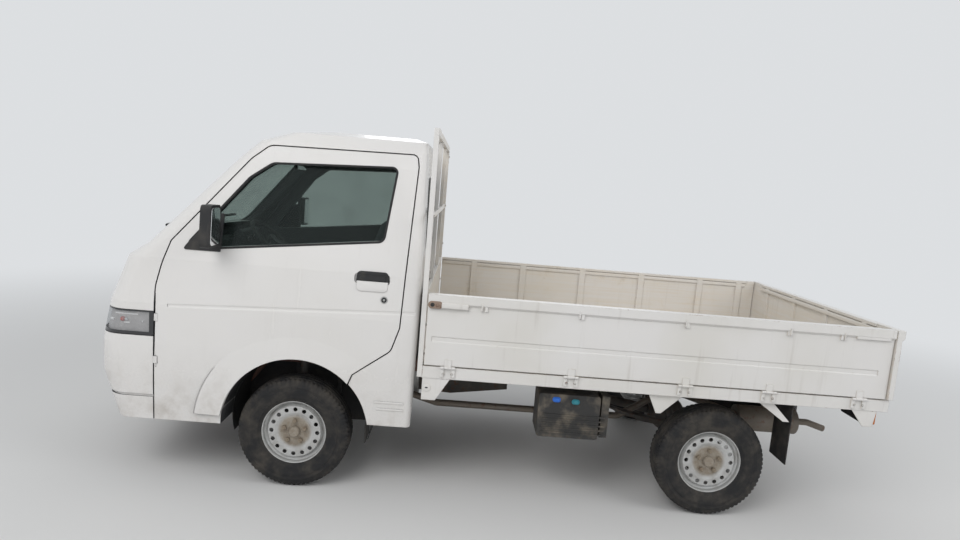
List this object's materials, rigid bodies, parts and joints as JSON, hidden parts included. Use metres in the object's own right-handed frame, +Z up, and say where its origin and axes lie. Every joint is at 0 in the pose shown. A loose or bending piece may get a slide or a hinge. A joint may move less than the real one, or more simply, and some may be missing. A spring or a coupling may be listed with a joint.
{
  "type": "small cab-over flat-deck truck",
  "caption": "Small cab-over flat-deck truck with a hollow two-seat cab, opening doors, drop-side bed, guard frame, leaf-sprung rear axle and steered front wheels.",
  "frame": {"origin": "on the ground under the middle of the truck's length and width", "axes": "+X points from the front bumper to the tailgate, +Y to the truck's right, +Z up"},
  "size_m": [4.1924, 1.978, 1.91],
  "materials": {
    "body_paint": "gloss white enamel with fine orange peel, dust and chips",
    "bed_paint": "worn cream-white enamel with scuffs, dirt and rust",
    "chassis_paint": "red-brown surface rust on dark chassis paint",
    "black_paint": "black enamel under road dust",
    "axle_iron": "dark cast iron and steel with oily dust",
    "wheel_steel": "silver wheel enamel, dusty, rust at the centre",
    "tyre": "worn black tyre rubber",
    "black_rubber": "black moulded rubber",
    "black_plastic": "grained black plastic",
    "cabin_plastic": "grained dark grey cabin plastic",
    "glass": "slightly green tinted safety glass",
    "lamp_glass": "clear lamp lens over a silvered housing",
    "lamp_red": "red and amber lamp lens",
    "seat_cloth": "dark grey woven seat cloth",
    "alloy": "dull fins"
  },
  "bodies": {
    "chassis": {"cab_shell": "body_paint", "front_bumper": "body_paint", "front_grille": "black_plastic", "headlamps": "lamp_glass", "cab_glass": "glass", "seats": "seat_cloth", "dashboard": "cabin_plastic", "engine": "axle_iron", "driveline": "axle_iron", "radiator": "alloy", "chassis_frame": "chassis_paint", "front_suspension": "black_paint", "battery_box": "black_paint", "fuel_tank": "black_paint", "exhaust": "axle_iron", "rear_axle": "axle_iron", "rear_springs": "black_paint", "spare_wheel": "wheel_steel", "bed_floor": "bed_paint", "headboard": "body_paint", "hinge_brackets": "body_paint", "wipers": "black_plastic", "mud_flaps": "black_rubber", "tail_lamps": "lamp_red", "bed_brackets": "body_paint"},
    "door_left": {"door_left": "body_paint", "door_glass_left": "glass", "door_fittings_left": "black_plastic"},
    "knuckle_left": {"knuckle_left": "black_paint"},
    "gate_left": {"gate_left": "bed_paint"},
    "wheel_front_left": {"rim_front_left": "wheel_steel", "tyre_front_left": "tyre"},
    "wheel_rear_left": {"rim_rear_left": "wheel_steel", "tyre_rear_left": "tyre"},
    "door_right": {"door_right": "body_paint", "door_glass_right": "glass", "door_fittings_right": "black_plastic"},
    "knuckle_right": {"knuckle_right": "black_paint"},
    "gate_right": {"gate_right": "bed_paint"},
    "wheel_front_right": {"rim_front_right": "wheel_steel", "tyre_front_right": "tyre"},
    "wheel_rear_right": {"rim_rear_right": "wheel_steel", "tyre_rear_right": "tyre"},
    "tailgate": {"tailgate": "bed_paint"},
    "front_lid": {"front_lid": "body_paint"},
    "steering_wheel": {"steering_wheel": "cabin_plastic"}
  },
  "joints": [
    {"name": "steer_left", "type": "hinge", "parent": "chassis", "child": "knuckle_left", "pos_m": [-0.9875, -0.676, 0.2], "axis": [0, 0.1355, 0.9908], "range_deg": [-33, 33]},
    {"name": "roll_front_left", "type": "hinge", "parent": "knuckle_left", "child": "wheel_front_left", "pos_m": [-0.9875, -0.7325, 0.292], "axis": [0, 1, 0], "continuous": true},
    {"name": "roll_rear_left", "type": "hinge", "parent": "chassis", "child": "wheel_rear_left", "pos_m": [1.2175, -0.73, 0.292], "axis": [0, 1, 0], "continuous": true},
    {"name": "door_swing_left", "type": "hinge", "parent": "chassis", "child": "door_left", "pos_m": [-1.6915, -0.83, 0.9], "axis": [0, 0, -1], "range_deg": [0, 68]},
    {"name": "gate_drop_left", "type": "hinge", "parent": "chassis", "child": "gate_left", "pos_m": [0.8625, -0.8755, 0.722], "axis": [1, 0, 0], "range_deg": [0, 170]},
    {"name": "steer_right", "type": "hinge", "parent": "chassis", "child": "knuckle_right", "pos_m": [-0.9875, 0.676, 0.2], "axis": [0, -0.1355, 0.9908], "range_deg": [-33, 33]},
    {"name": "roll_front_right", "type": "hinge", "parent": "knuckle_right", "child": "wheel_front_right", "pos_m": [-0.9875, 0.7325, 0.292], "axis": [0, 1, 0], "continuous": true},
    {"name": "roll_rear_right", "type": "hinge", "parent": "chassis", "child": "wheel_rear_right", "pos_m": [1.2175, 0.73, 0.292], "axis": [0, 1, 0], "continuous": true},
    {"name": "door_swing_right", "type": "hinge", "parent": "chassis", "child": "door_right", "pos_m": [-1.6915, 0.83, 0.9], "axis": [0, 0, 1], "range_deg": [0, 68]},
    {"name": "gate_drop_right", "type": "hinge", "parent": "chassis", "child": "gate_right", "pos_m": [0.8625, 0.8755, 0.722], "axis": [-1, 0, 0], "range_deg": [0, 170]},
    {"name": "tailgate_drop", "type": "hinge", "parent": "chassis", "child": "tailgate", "pos_m": [2.0905, 0, 0.722], "axis": [0, 1, 0], "range_deg": [0, 170]},
    {"name": "lid_lift", "type": "hinge", "parent": "chassis", "child": "front_lid", "pos_m": [-1.9375, 0, 1.186], "axis": [0, 1, 0], "range_deg": [0, 60]},
    {"name": "steering_turn", "type": "hinge", "parent": "chassis", "child": "steering_wheel", "pos_m": [-1.4655, 0.37, 1.165], "axis": [0.6691, 0, 0.7431], "range_deg": [-462, 462]}
  ],
  "couplings": [
    {"joint": "steer_right", "follows": "steer_left", "ratio": 1},
    {"joint": "steering_turn", "follows": "steer_left", "ratio": 14}
  ]
}
